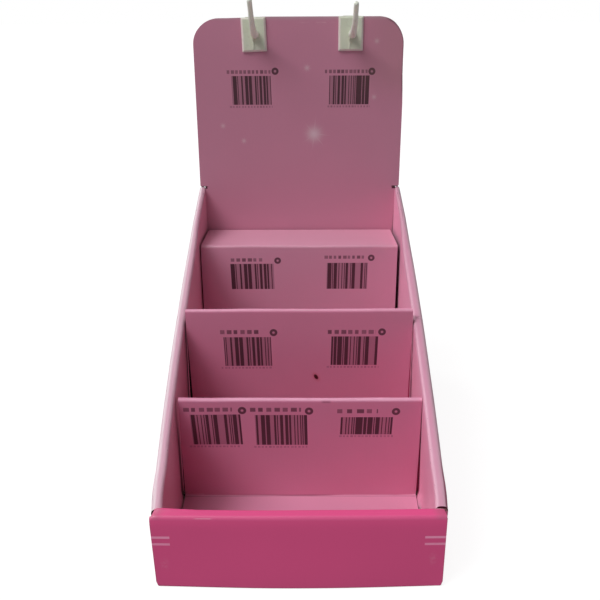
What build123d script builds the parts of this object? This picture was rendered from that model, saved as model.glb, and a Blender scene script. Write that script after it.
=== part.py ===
from build123d import *
import math
import os

os.makedirs("parts", exist_ok=True)

# Counter display stand of folded corrugated board.
# Frame: origin on the floor under the middle of the tray, +X to the viewer's right,
# +Y from the front wall to the back wall, +Z up.  All sizes in millimetres.

# ---------------------------------------------------------------- driving dimensions
T = 1.5                    # caliper of the board
R_OUT = 2.0                # outside radius of a crease
R_MID = R_OUT - T / 2      # radius of the board's middle layer at a crease

W = 165.0                  # outside width of the tray's two ends and of the back card
DEPTH = 283.6              # outside depth of the tray
SIDE_T = 6.7               # thickness of a rolled-over side wall
BOW = 2.8                  # how far a side wall stands out at its middle
FRONT_T = 6.8              # thickness of the rolled-over front wall
FRONT_H = 49.0             # height of the front wall
SIDE_Y0, SIDE_H0 = 7.0, 52.0       # front end of a side wall: distance, height
SIDE_Y1, SIDE_H1 = 277.0, 167.0    # a side wall's height under the back card
SIDE_END = 279.6           # rear end of the rolled-over part of a side wall
BACK_H = 158.0             # height of the back wall
PANEL_INSET = 1.5          # the front and back panels stop short of the side faces
FLAP_Y = 1.8               # outer face of a corner flap, behind its panel
FLAP_L = 38.0              # length of a corner flap
FLAP_Z0 = 5.0              # the corner flaps start above the base crease
FLAP_H = 46.3              # top of the front corner flaps
POST_H = 49.3              # the side panel stands a little higher beside the front wall
POST_Y0, POST_Y1 = 4.0, 5.6        # that part, up to the slit before the sloping wall
LOCK_GAP = 0.2             # the inner panels end just above the base
TAB_W = 16.0               # lock tabs of the inner panels, through slots in the base
SLOT_GAP = 0.2
TAB_Z = 0.2                # lower end of the tabs
SIDE_TABS = (78.0, 206.0)  # distances of the side walls' tabs from the front
FRONT_TAB_X = 44.0
TOP_R = 2.5                # rounding of the front wall's top, in plan
CORNER_W, CORNER_H = 1.7, 4.2      # slanted lower corners of the front and back panels

CARD_Y = 278.5             # front face of the back card
CARD_H = 301.5             # height of the back card
CARD_SHOULDER = 168.8      # underside of the back card's shoulders
CARD_LOW_W = 151.2         # width of the card between the side walls
CARD_R = 20.5              # top corner radius

INS_W = 151.0              # width of the step insert at its two ends
INS_Y0 = 7.3               # front end of the insert's first floor
DIV_T = 4.0                # thickness of a divider across its top fold
DIV_SPREAD = 1.6           # how much wider a divider stands at its base
DIV1_TOP_Y, DIV1_BASE_Y, DIV1_H = 78.2, 82.2, 78.8      # front divider
DIV2_TOP_Y, DIV2_BASE_Y, DIV2_H = 135.4, 136.6, 116.5   # middle divider
STEP_TOP_Y, STEP_BASE_Y, SHELF_H = 231.4, 231.8, 132.0  # riser and shelf
LEG_Y = 277.6              # back face of the insert's rear leg

HOOK_W = 19.2                      # hook plate
HOOK_TOP, HOOK_LOW = 0.4, -24.5    # its ends, from the card's top edge
HOOK_PLATE_T = 1.8
HOOK_RIM_T, HOOK_BEVEL = 0.8, 1.45  # thickness at the plate's rim, width of its bevel
HOOK_LEG_T, HOOK_LEG_L = 1.3, 10.5
HOOK_BRIDGE_W, HOOK_BRIDGE_T = 12.0, 1.0
HOOK_GAP = 0.1                     # clearance of the clip on each face of the card
HOOK_X_LEFT, HOOK_X_RIGHT = -35.4, 40.1
HOOK_ROLL_LEFT = 2.0               # degrees: the left clip sits slightly askew
PRONG_RADII = (3.2, 2.6, 2.05, 1.85)   # the prong thins from its root to its tip
PRONG_AT = (0.0, 0.3, 0.62, 1.0)        # where along it
PRONG_X, PRONG_Z = 1.1, 11.4       # root of the prong, from the plate's lower middle
PRONG_REACH = 39.5

HALF = W / 2
IN_HALF = HALF - SIDE_T            # inner face of a side wall
PANEL_HALF = HALF - PANEL_INSET    # end of the front and back panels
YF = -DEPTH / 2                    # front face of the tray in the part's frame


def fy(distance):
    """Y of a point that lies a distance behind the tray's front face."""
    return YF + distance


def end_plane(distance):
    """Plane across the stand as seen from the front: local x is X, local y is Z."""
    return Plane(origin=(0, fy(distance), 0), x_dir=(1, 0, 0), z_dir=(0, -1, 0))


def side_plane(x):
    """Plane along the stand: local x is Y, local y is Z, normal +X."""
    return Plane(origin=(x, 0, 0), x_dir=(0, 1, 0), z_dir=(1, 0, 0))


def folded(path, mid_radius=R_MID):
    """Outline of a folded sheet from its middle line: corner points and their radii."""
    near, far = [], []
    for i in range(len(path)):
        a = path[max(i - 1, 0)]
        b = path[i]
        c = path[min(i + 1, len(path) - 1)]
        into = (b[0] - a[0], b[1] - a[1]) if i > 0 else (c[0] - b[0], c[1] - b[1])
        away = (c[0] - b[0], c[1] - b[1]) if i < len(path) - 1 else into
        li, la = math.hypot(*into), math.hypot(*away)
        ni = (-into[1] / li, into[0] / li)
        na = (-away[1] / la, away[0] / la)
        k = (T / 2) / (1 + ni[0] * na[0] + ni[1] * na[1])
        off = ((ni[0] + na[0]) * k, (ni[1] + na[1]) * k)
        turn = into[0] * away[1] - into[1] * away[0]
        if 0 < i < len(path) - 1:
            r_near = mid_radius - T / 2 if turn > 0 else mid_radius + T / 2
            r_far = mid_radius + T / 2 if turn > 0 else mid_radius - T / 2
        else:
            r_near = r_far = 0.0
        near.append(((b[0] + off[0], b[1] + off[1]), r_near))
        far.append(((b[0] - off[0], b[1] - off[1]), r_far))
    loop = near + far[::-1]
    return [p for p, r in loop], [r for p, r in loop]


SLOPE = math.atan2(SIDE_H1 - SIDE_H0, SIDE_Y1 - SIDE_Y0)

# In plan each side wall is a flat arc: the insert pushes its middle outwards.
ARC_Y0, ARC_Y1 = FLAP_Y + R_OUT + 0.2, DEPTH - FLAP_Y - R_OUT - 0.2


def bowed_block(x_a, x_b, z0, z1):
    """Upright block whose long sides are arcs: each starts and ends at its own X and
    stands out by BOW at its middle."""
    def arc(x):
        out = math.copysign(BOW, x)
        middle = fy((ARC_Y0 + ARC_Y1) / 2)
        return Edge.make_three_point_arc(
            Vector(x, fy(ARC_Y0), z0), Vector(x + out, middle, z0), Vector(x, fy(ARC_Y1), z0)
        )

    def end(y):
        return Edge.make_line(Vector(x_a, y, z0), Vector(x_b, y, z0))

    face = Face(Wire([arc(x_a), end(fy(ARC_Y1)), arc(x_b), end(fy(ARC_Y0))]))
    return Solid.extrude(face, Vector(0, 0, z1 - z0))


def bowed_slab(x_a, x_b, z0, z1, y0, y1):
    """The stretch of such a block that lies between two distances from the front."""
    keep = Solid.make_box(2 * W, y1 - y0, z1 - z0 + 2.0, Plane((-W, fy(y0), z0 - 1.0)))
    return (bowed_block(x_a, x_b, z0, z1) & keep).solid()


def under_slope(x_a, x_b, z0, drop, radius, y0, y1):
    """Such a block with its top along the walls' sloping line, drop below it, rounded."""
    def top(y):
        return SIDE_H0 + (y - SIDE_Y0) * math.tan(SLOPE) - drop / math.cos(SLOPE)

    x = min(x_a, x_b) - 5.0
    outline = Wire.make_polygon([
        Vector(x, fy(y0), z0 - 1.0), Vector(x, fy(y1), z0 - 1.0),
        Vector(x, fy(y1), top(y1)), Vector(x, fy(y0), top(y0)),
    ])
    room = Solid.extrude(Face(outline), Vector(abs(x_b - x_a) + BOW + 10.0, 0, 0))
    slab = (bowed_block(x_a, x_b, z0, z0 + 220.0) & room).solid()
    crests = slab.edges().filter_by(lambda e: e.length > 200.0 and e.center().Z > 70.0)
    return slab.fillet(radius, list(crests))


def long_edges(block, z):
    return [e for e in block.edges() if e.length > 200.0 and abs(e.center().Z - z) < 0.1]


# ---------------------------------------------------------------- rolled-over side wall
# Outer panel, top and inner panel of the right-hand wall, folded over the sloping top
# line and cut square at both ends.
side_wall = (
    under_slope(IN_HALF, HALF, T + LOCK_GAP, 0.0, R_OUT, SIDE_Y0, ARC_Y1 + 5.0)
    - under_slope(IN_HALF + T, HALF - T, -5.0, T, R_OUT - T, ARC_Y0 - 5.0, ARC_Y1 + 5.0)
)

# ---------------------------------------------------------------- front-to-back strip
# Rolled-over front wall, base and back wall: one strip folded from front to back.
with BuildPart() as strip:
    pts, radii = folded([
        (fy(FRONT_T - T / 2), T + LOCK_GAP),
        (fy(FRONT_T - T / 2), FRONT_H - T / 2),
        (fy(T / 2), FRONT_H - T / 2),
        (fy(T / 2), T / 2),
        (fy(DEPTH - T / 2), T / 2),
        (fy(DEPTH - T / 2), BACK_H),
    ])
    with BuildSketch(side_plane(-PANEL_HALF)):
        with BuildLine():
            FilletPolyline(*pts, radius=radii, close=True)
        make_face()
    extrude(amount=2 * PANEL_HALF)

    # the inner front panel is narrower: it drops between the side walls
    with BuildSketch(Plane.XY.offset(T + 0.1)):
        for side in (-1, 1):
            with Locations((side * (IN_HALF - 0.3 + 5.0), fy(FRONT_T - T / 2))):
                Rectangle(10.0, T + 0.6)
    extrude(amount=FRONT_H - R_OUT - 0.4 - T - 0.1, mode=Mode.SUBTRACT)

    # the rear corners of the front wall's top are rounded in plan
    with BuildSketch(Plane.XY.offset(FRONT_H - R_OUT - 1.0)):
        for side in (-1, 1):
            with Locations((side * (PANEL_HALF - TOP_R / 2 + 0.5), fy(FRONT_T - TOP_R / 2 + 0.5))):
                Rectangle(TOP_R + 1.0, TOP_R + 1.0)
            with Locations((side * (PANEL_HALF - TOP_R), fy(FRONT_T - TOP_R))):
                Circle(TOP_R, mode=Mode.SUBTRACT)
    extrude(amount=R_OUT + 2.0, mode=Mode.SUBTRACT)

    # the lower corners of the front and back panels are cut off at a slant
    with BuildSketch(end_plane(-1.0)):
        for side in (-1, 1):
            with BuildLine():
                Polyline(
                    (side * (PANEL_HALF + 1.0), CORNER_H),
                    (side * PANEL_HALF, CORNER_H),
                    (side * (PANEL_HALF - CORNER_W), -1.0),
                    (side * (PANEL_HALF + 1.0), -1.0),
                    close=True,
                )
            make_face()
    extrude(amount=-(1.0 + R_OUT), mode=Mode.SUBTRACT)
    with BuildSketch(end_plane(DEPTH + 1.0)):
        for side in (-1, 1):
            with BuildLine():
                Polyline(
                    (side * (PANEL_HALF + 1.0), CORNER_H),
                    (side * PANEL_HALF, CORNER_H),
                    (side * (PANEL_HALF - CORNER_W), -1.0),
                    (side * (PANEL_HALF + 1.0), -1.0),
                    close=True,
                )
            make_face()
    extrude(amount=1.0 + R_OUT, mode=Mode.SUBTRACT)

    # the back wall's upper corners are rounded
    back_corners = (
        strip.edges()
        .filter_by(Axis.Y)
        .filter_by(lambda e: e.center().Z > BACK_H - 0.1)
    )
    fillet(back_corners, radius=6.0)

# ---------------------------------------------------------------- tray
with BuildPart() as tray:
    add(side_wall)

    # front corner flap: the outer side panel turns the corner behind the front panel
    pts, radii = folded([
        (HALF - T / 2, fy(ARC_Y0)),
        (HALF - T / 2, fy(FLAP_Y + T / 2)),
        (HALF - T / 2 - FLAP_L, fy(FLAP_Y + T / 2)),
    ])
    with BuildSketch(Plane.XY.offset(FLAP_Z0)):
        with BuildLine():
            FilletPolyline(*pts, radius=radii, close=True)
        make_face()
    extrude(amount=FLAP_H - FLAP_Z0)
    add(bowed_slab(HALF - T, HALF, FLAP_Z0, FLAP_H, ARC_Y0, SIDE_Y0))
    # and stands higher just behind it, up to a slit before the sloping wall; this short
    # piece is straight, so that its whole face lies against the end of the front wall
    foot = Plane((HALF - T, fy(POST_Y0), FLAP_H - 1.0))
    add(Solid.make_box(T, POST_Y1 - POST_Y0, POST_H - FLAP_H + 1.0, foot))

    # rear corner flap, against the inside of the back panel
    pts, radii = folded([
        (HALF - T / 2, fy(SIDE_END)),
        (HALF - T / 2, fy(DEPTH - FLAP_Y - T / 2)),
        (HALF - T / 2 - FLAP_L, fy(DEPTH - FLAP_Y - T / 2)),
    ])
    with BuildSketch(Plane.XY.offset(FLAP_Z0)):
        with BuildLine():
            FilletPolyline(*pts, radius=radii, close=True)
        make_face()
    extrude(amount=BACK_H - 2.0 - FLAP_Z0)

    # the left-hand side is the mirror image
    mirror(about=Plane.YZ)

    # side creases along the base: a shallow channel that follows the walls' arcs
    channel = bowed_block(-HALF, HALF, 0.0, 9.0)
    room = bowed_block(-HALF + T, HALF - T, T, 12.0)
    add(channel.fillet(R_OUT, long_edges(channel, 0.0)) - room.fillet(R_OUT - T, long_edges(room, T)))

    add(strip.part)

    # slots in the base for the lock tabs of the inner panels
    for side in (-1, 1):
        for tab_y in SIDE_TABS:
            add(
                bowed_slab(
                    side * (IN_HALF - SLOT_GAP), side * (IN_HALF + T + SLOT_GAP), -0.5, T + 0.1,
                    tab_y - TAB_W / 2 - SLOT_GAP, tab_y + TAB_W / 2 + SLOT_GAP,
                ),
                mode=Mode.SUBTRACT,
            )
    with BuildSketch(Plane.XY.offset(-0.5)):
        for side in (-1, 1):
            with Locations((side * FRONT_TAB_X, fy(FRONT_T - T / 2))):
                Rectangle(TAB_W + 2 * SLOT_GAP, T + 2 * SLOT_GAP)
    extrude(amount=T + 0.6, mode=Mode.SUBTRACT)
    # the tabs themselves, down to just above the floor
    for side in (-1, 1):
        for tab_y in SIDE_TABS:
            add(bowed_slab(
                side * IN_HALF, side * (IN_HALF + T), TAB_Z, T + LOCK_GAP + 2.0,
                tab_y - TAB_W / 2, tab_y + TAB_W / 2,
            ))
    with BuildSketch(Plane.XY.offset(TAB_Z)):
        for side in (-1, 1):
            with Locations((side * FRONT_TAB_X, fy(FRONT_T - T / 2))):
                Rectangle(TAB_W, T)
    extrude(amount=T + LOCK_GAP + 2.0 - TAB_Z)

tray.part.label = "tray"
export_step(tray.part, "parts/tray.step")

# ---------------------------------------------------------------- back card
# Flat sheet: the wide part stands above the side walls, the narrow part between them.
LOW = CARD_LOW_W / 2
with BuildPart() as header_card:
    with BuildSketch(end_plane(CARD_Y)) as card_outline:
        with BuildLine():
            FilletPolyline(
                (-LOW, T), (LOW, T),
                (LOW, CARD_SHOULDER), (HALF, CARD_SHOULDER),
                (HALF, CARD_H), (-HALF, CARD_H),
                (-HALF, CARD_SHOULDER), (-LOW, CARD_SHOULDER),
                radius=[0.8, 0.8, 0.8, 1.2, CARD_R, CARD_R, 1.2, 0.8],
                close=True,
            )
        make_face()
    extrude(amount=-T)

header_card.part.label = "header_card"
export_step(header_card.part, "parts/header_card.step")

# ---------------------------------------------------------------- step insert
# One sheet folded back and forth, resting on the base.  Each divider is folded double.
FLOOR = T + T / 2
with BuildPart() as step_insert:
    pts, radii = folded([
        (fy(INS_Y0), FLOOR),
        (fy(DIV1_BASE_Y + T / 2), FLOOR),
        (fy(DIV1_TOP_Y + T / 2), DIV1_H - T / 2),
        (fy(DIV1_TOP_Y + DIV_T - T / 2), DIV1_H - T / 2),
        (fy(DIV1_BASE_Y + DIV_T + DIV_SPREAD - T / 2), FLOOR),
        (fy(DIV2_BASE_Y + T / 2), FLOOR),
        (fy(DIV2_TOP_Y + T / 2), DIV2_H - T / 2),
        (fy(DIV2_TOP_Y + DIV_T - T / 2), DIV2_H - T / 2),
        (fy(DIV2_BASE_Y + DIV_T + DIV_SPREAD - T / 2), FLOOR),
        (fy(STEP_BASE_Y + T / 2), FLOOR),
        (fy(STEP_TOP_Y + T / 2), SHELF_H - T / 2),
        (fy(LEG_Y - T / 2), SHELF_H - T / 2),
        (fy(LEG_Y - T / 2), T),
    ])
    with BuildSketch(side_plane(-W / 2)):
        with BuildLine():
            FilletPolyline(*pts, radius=radii, close=True)
        make_face()
    extrude(amount=W)
    # its edges follow the bowed walls
    add(bowed_block(-INS_W / 2, INS_W / 2, -1.0, SHELF_H + 10.0), mode=Mode.INTERSECT)

step_insert.part.label = "step_insert"
export_step(step_insert.part, "parts/step_insert.step")


# ---------------------------------------------------------------- clip-on hooks
def make_hook(x_mid, roll, lift, rise, tip_x):
    """A clip over the card's top edge with an upturned prong.

    roll turns the clip in the card's plane, lift raises it so that it clears the edge,
    rise is the height of the prong's tip over its root and tip_x the tip's offset.
    """
    a = math.radians(roll)
    base = Plane(
        origin=(x_mid, fy(CARD_Y), CARD_H + lift),
        x_dir=(math.cos(a), 0, math.sin(a)),
        z_dir=(0, -1, 0),
    )
    front = HOOK_GAP + HOOK_PLATE_T              # plate's front face, along local z
    rear = -(T + HOOK_GAP)                       # back leg's inner face
    prong_y = HOOK_LOW + PRONG_Z
    with BuildPart() as hook:
        # plate against the card's front, with a broad bevel round its face
        mid_y, high = (HOOK_TOP + HOOK_LOW) / 2, HOOK_TOP - HOOK_LOW
        with BuildSketch(base.offset(HOOK_GAP)):
            with Locations((0, mid_y)):
                Rectangle(HOOK_W, high)
        extrude(amount=HOOK_RIM_T)
        with BuildSketch(base.offset(HOOK_GAP + HOOK_RIM_T)):
            with Locations((0, mid_y)):
                Rectangle(HOOK_W, high)
        with BuildSketch(base.offset(front)):
            with Locations((0, mid_y)):
                Rectangle(HOOK_W - 2 * HOOK_BEVEL, high - 2 * HOOK_BEVEL)
        loft()
        with BuildSketch(base.offset(HOOK_GAP)):
            with Locations((0, mid_y)):
                RectangleRounded(HOOK_W, high, 0.8)
        extrude(amount=HOOK_PLATE_T, mode=Mode.INTERSECT)
        # bridge over the card's top edge
        with BuildSketch(base.offset(rear - HOOK_LEG_T)):
            with Locations((0, HOOK_BRIDGE_T / 2)):
                Rectangle(HOOK_BRIDGE_W, HOOK_BRIDGE_T)
        extrude(amount=HOOK_GAP + 1.0 - rear + HOOK_LEG_T)
        # short leg behind the card
        with BuildSketch(base.offset(rear - HOOK_LEG_T)):
            with Locations((0, HOOK_BRIDGE_T - HOOK_LEG_L / 2)):
                RectangleRounded(HOOK_BRIDGE_W, HOOK_LEG_L, 0.45)
        extrude(amount=HOOK_LEG_T)
        # web under the prong, down the plate's front
        rib = Plane(origin=base.from_local_coords((PRONG_X - 1.9, 0, 0)), x_dir=(0, -1, 0), z_dir=-base.x_dir)
        with BuildSketch(rib):
            with BuildLine():
                Polyline(
                    (front - 0.4, prong_y),
                    (front - 0.4, HOOK_LOW + HOOK_BEVEL + 0.4),
                    (front + 0.35, HOOK_LOW + HOOK_BEVEL + 0.4),
                    (front + 0.9, prong_y - 4.6),
                    (front + 3.4, prong_y - 1.6),
                    (front + 3.4, prong_y),
                    close=True,
                )
            make_face()
        extrude(amount=0.5, both=True)
        # prong: out of the plate, then a slow upward bend to a rounded tip
        with BuildLine() as prong_path:
            FilletPolyline(
                base.from_local_coords((PRONG_X, prong_y, front - 0.5)),
                base.from_local_coords((PRONG_X - 0.3, prong_y + 0.9, front + 13.0)),
                base.from_local_coords((tip_x, prong_y + rise * 0.45, front + 30.0)),
                base.from_local_coords((tip_x, prong_y + rise, front + PRONG_REACH)),
                radius=[28.0, 24.0],
            )
        for at, r in zip(PRONG_AT, PRONG_RADII):
            with BuildSketch(Plane(origin=prong_path.line @ at, z_dir=prong_path.line % at)):
                Circle(r)
        sweep(path=prong_path.line, multisection=True)
        with Locations(Plane(origin=prong_path.line @ 1, z_dir=prong_path.line % 1)):
            Sphere(PRONG_RADII[-1])
    return hook.part


hook_left = make_hook(
    HOOK_X_LEFT, HOOK_ROLL_LEFT,
    lift=HOOK_BRIDGE_W / 2 * math.sin(math.radians(HOOK_ROLL_LEFT)) + 0.02,
    rise=25.6, tip_x=0.6,
)
hook_left.label = "hook_left"
export_step(hook_left, "parts/hook_left.step")

hook_right = make_hook(HOOK_X_RIGHT, 0.0, lift=0.0, rise=22.4, tip_x=1.2)
hook_right.label = "hook_right"
export_step(hook_right, "parts/hook_right.step")
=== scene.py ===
import math

import bmesh
import bpy
from mathutils import Matrix, Vector
from mathutils.bvhtree import BVHTree


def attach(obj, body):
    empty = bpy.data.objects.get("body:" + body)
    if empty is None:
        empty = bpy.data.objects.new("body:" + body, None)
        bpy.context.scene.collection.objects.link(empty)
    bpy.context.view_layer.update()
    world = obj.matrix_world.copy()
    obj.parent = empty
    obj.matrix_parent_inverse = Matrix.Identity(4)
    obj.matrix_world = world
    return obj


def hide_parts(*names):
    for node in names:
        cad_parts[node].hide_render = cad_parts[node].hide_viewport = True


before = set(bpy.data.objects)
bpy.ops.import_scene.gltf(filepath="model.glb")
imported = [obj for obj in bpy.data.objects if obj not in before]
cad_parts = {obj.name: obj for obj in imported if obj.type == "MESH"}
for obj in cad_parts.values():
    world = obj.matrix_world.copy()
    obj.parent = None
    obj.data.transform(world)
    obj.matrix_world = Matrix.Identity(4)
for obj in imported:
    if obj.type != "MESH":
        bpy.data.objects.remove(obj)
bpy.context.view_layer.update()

MM = 0.001

# The row frame: origin on the floor under the tray's middle, +X to the viewer's right, +Y to
# the back, +Z up.  fy() turns a distance behind the tray's front face into Y, in metres.
DEPTH = 0.2836
YF = -DEPTH / 2
BOW = 0.0028        # how far the side walls stand out at their middle


def fy(distance_mm):
    return YF + distance_mm * MM


def clamp(v, lo=0.0, hi=1.0):
    return max(lo, min(hi, v))


def smooth(v, lo, hi):
    t = clamp((v - lo) / (hi - lo))
    return t * t * (3 - 2 * t)


# =============================================================== camera
# Solved from the stand's straight edges: focal length 766 pixels in a 600 pixel frame.
CAM_TILT, CAM_YAW, CAM_ROLL = 0.3766, -0.0030, 0.0038
CAM_POS = Vector((0.0019, -0.4903, 0.3170))
fwd = Vector((math.sin(CAM_YAW) * math.cos(CAM_TILT), math.cos(CAM_YAW) * math.cos(CAM_TILT), -math.sin(CAM_TILT)))
right0 = Vector((math.cos(CAM_YAW), -math.sin(CAM_YAW), 0.0))
down0 = fwd.cross(right0)
cr, sr = math.cos(CAM_ROLL), math.sin(CAM_ROLL)
right = right0 * cr + down0 * sr
down = down0 * cr - right0 * sr
cam_data = bpy.data.cameras.new("camera")
cam_data.sensor_width = 36.0
cam_data.lens = 765.87 / 600.0 * 36.0
cam_data.shift_y = -2.31 / 600.0
cam_data.clip_start, cam_data.clip_end = 0.01, 60.0
cam = bpy.data.objects.new("camera", cam_data)
bpy.context.scene.collection.objects.link(cam)
cam.matrix_world = Matrix((
    (right.x, -down.x, -fwd.x, CAM_POS.x),
    (right.y, -down.y, -fwd.y, CAM_POS.y),
    (right.z, -down.z, -fwd.z, CAM_POS.z),
    (0, 0, 0, 1),
))
bpy.context.scene.camera = cam
bpy.context.scene.view_settings.view_transform = "Standard"
bpy.context.scene.view_settings.look = "None"


# =============================================================== shader helpers
class Shader:
    """Builds one material's node tree.  Plain numbers are set on the sockets themselves."""

    def __init__(self, name):
        self.mat = bpy.data.materials.new(name)
        self.mat.use_nodes = True
        self.nt = self.mat.node_tree
        self.nt.nodes.clear()
        self.out = self.nt.nodes.new("ShaderNodeOutputMaterial")
        self.bsdf = self.nt.nodes.new("ShaderNodeBsdfPrincipled")
        self.nt.links.new(self.bsdf.outputs[0], self.out.inputs[0])
        tc = self.nt.nodes.new("ShaderNodeTexCoord")
        self.pos = tc.outputs["Object"]
        self.normal = self.nt.nodes.new("ShaderNodeNewGeometry").outputs["True Normal"]
        sep = self.nt.nodes.new("ShaderNodeSeparateXYZ")
        self.nt.links.new(self.pos, sep.inputs[0])
        self.x, self.y, self.z = sep.outputs

    def put(self, socket, value):
        if isinstance(value, bpy.types.NodeSocket):
            self.nt.links.new(value, socket)
        else:
            socket.default_value = value

    def m(self, op, a, b=None, c=None, limit=False):
        n = self.nt.nodes.new("ShaderNodeMath")
        n.operation = op
        n.use_clamp = limit
        for i, v in enumerate((a, b, c)):
            if v is not None:
                self.put(n.inputs[i], v)
        return n.outputs[0]

    def add(self, *v):
        s = v[0]
        for t in v[1:]:
            s = self.m("ADD", s, t)
        return s

    def mul(self, *v):
        s = v[0]
        for t in v[1:]:
            s = self.m("MULTIPLY", s, t)
        return s

    def most(self, *v):
        s = v[0]
        for t in v[1:]:
            s = self.m("MAXIMUM", s, t)
        return s

    def step(self, v, lo, hi):
        """0 below lo, 1 above hi (lo may be the larger, for a falling step)."""
        n = self.nt.nodes.new("ShaderNodeMapRange")
        n.interpolation_type = "SMOOTHSTEP"
        self.put(n.inputs["Value"], v)
        if lo < hi:
            n.inputs["From Min"].default_value, n.inputs["From Max"].default_value = lo, hi
            n.inputs["To Min"].default_value, n.inputs["To Max"].default_value = 0.0, 1.0
        else:
            n.inputs["From Min"].default_value, n.inputs["From Max"].default_value = hi, lo
            n.inputs["To Min"].default_value, n.inputs["To Max"].default_value = 1.0, 0.0
        return n.outputs["Result"]

    def band(self, v, lo, hi, soft):
        return self.mul(self.step(v, lo - soft / 2, lo + soft / 2), self.step(v, hi + soft / 2, hi - soft / 2))

    def vec(self, x, y, z):
        n = self.nt.nodes.new("ShaderNodeCombineXYZ")
        for i, v in enumerate((x, y, z)):
            self.put(n.inputs[i], v)
        return n.outputs[0]

    def noise(self, scale, detail=2.0, rough=0.5, vector=None, stretch=None, distortion=0.0):
        n = self.nt.nodes.new("ShaderNodeTexNoise")
        v = vector or self.pos
        if stretch:
            mp = self.nt.nodes.new("ShaderNodeMapping")
            mp.inputs["Scale"].default_value = stretch
            self.nt.links.new(v, mp.inputs["Vector"])
            v = mp.outputs[0]
        self.nt.links.new(v, n.inputs["Vector"])
        n.inputs["Scale"].default_value = scale
        n.inputs["Detail"].default_value = detail
        n.inputs["Roughness"].default_value = rough
        n.inputs["Distortion"].default_value = distortion
        return n.outputs["Fac"]

    def rnd(self, v):
        n = self.nt.nodes.new("ShaderNodeTexWhiteNoise")
        n.noise_dimensions = "1D"
        self.put(n.inputs["W"], v)
        return n.outputs["Value"]

    def mix(self, fac, a, b):
        n = self.nt.nodes.new("ShaderNodeMix")
        n.data_type = "RGBA"
        self.put(n.inputs["Factor"], fac)
        for name, v in (("A", a), ("B", b)):
            s = [i for i in n.inputs if i.name == name and i.type == "RGBA"][0]
            self.put(s, v if isinstance(v, bpy.types.NodeSocket) else (*v, 1.0))
        return [o for o in n.outputs if o.type == "RGBA"][0]

    def mixf(self, fac, a, b):
        n = self.nt.nodes.new("ShaderNodeMix")
        n.data_type = "FLOAT"
        self.put(n.inputs["Factor"], fac)
        for name, v in (("A", a), ("B", b)):
            s = [i for i in n.inputs if i.name == name and i.type == "VALUE"][0]
            self.put(s, v)
        return [o for o in n.outputs if o.type == "VALUE"][0]

    def bump(self, height, distance, strength=1.0):
        n = self.nt.nodes.new("ShaderNodeBump")
        n.inputs["Strength"].default_value = strength
        n.inputs["Distance"].default_value = distance
        self.nt.links.new(height, n.inputs["Height"])
        self.nt.links.new(n.outputs[0], self.bsdf.inputs["Normal"])

    def set(self, **kw):
        for k, v in kw.items():
            self.put(self.bsdf.inputs[k.replace("_", " ")], v)


def srgb(r, g, b):
    def f(c):
        c /= 255.0
        return c / 12.92 if c <= 0.04045 else ((c + 0.055) / 1.055) ** 2.4
    return (f(r), f(g), f(b))


# =============================================================== print patterns
# Plain, generic print: blocks of upright stripes, rows of dashes, rings, soft stars.
def stripes(s, x0, x1, z0, z1, lean, seed, modules=52):
    """A block of upright stripes.  lean is how far its lower edge stands off to the left."""
    t = s.m("SUBTRACT", s.z, z1 * MM)
    u = s.m("MULTIPLY_ADD", t, lean / (z1 - z0), s.m("SUBTRACT", s.x, x0 * MM))
    pitch = (x1 - x0) * MM / modules
    cell = s.m("FLOOR", s.m("DIVIDE", u, pitch))
    r1 = s.m("GREATER_THAN", s.rnd(s.add(cell, seed)), 0.38)
    inside = s.band(u, 0.0, (x1 - x0) * MM, 0.0002)
    tall = s.band(s.z, z0 * MM, z1 * MM, 0.0003)
    # a lighter underlay, as ink that has spread a little between the stripes
    return s.mul(inside, tall, s.m("MULTIPLY_ADD", r1, 0.60, 0.38))


def dashes(s, x0, x1, zc, high, pitch, seed, strength=0.8):
    """A row of small plain blocks of uneven width and darkness."""
    u = s.m("SUBTRACT", s.x, x0 * MM)
    q = s.m("DIVIDE", u, pitch * MM)
    cell, part = s.m("FLOOR", q), s.m("FRACT", q)
    r = s.rnd(s.add(cell, seed))
    block = s.m("LESS_THAN", part, s.m("MULTIPLY_ADD", r, 0.30, 0.50))
    dark = s.m("MULTIPLY_ADD", s.rnd(s.add(cell, seed + 40.5)), 0.35, 0.65)
    inside = s.band(u, 0.0, (x1 - x0) * MM, 0.0001)
    tall = s.band(s.z, (zc - high / 2) * MM, (zc + high / 2) * MM, 0.0007)
    return s.mul(inside, tall, block, dark, strength)


def ring(s, xc, zc, r, strength=0.9):
    """A plain dark ring round a pale dot."""
    dx = s.m("SUBTRACT", s.x, xc * MM)
    dz = s.m("SUBTRACT", s.z, zc * MM)
    d = s.m("SQRT", s.add(s.mul(dx, dx), s.mul(dz, dz)))
    disc = s.step(d, r * MM, (r - 0.25) * MM)
    hole = s.step(d, 0.42 * r * MM, 0.22 * r * MM)
    return s.mul(disc, s.m("SUBTRACT", 1.0, s.mul(hole, 0.9)), strength)


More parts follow.
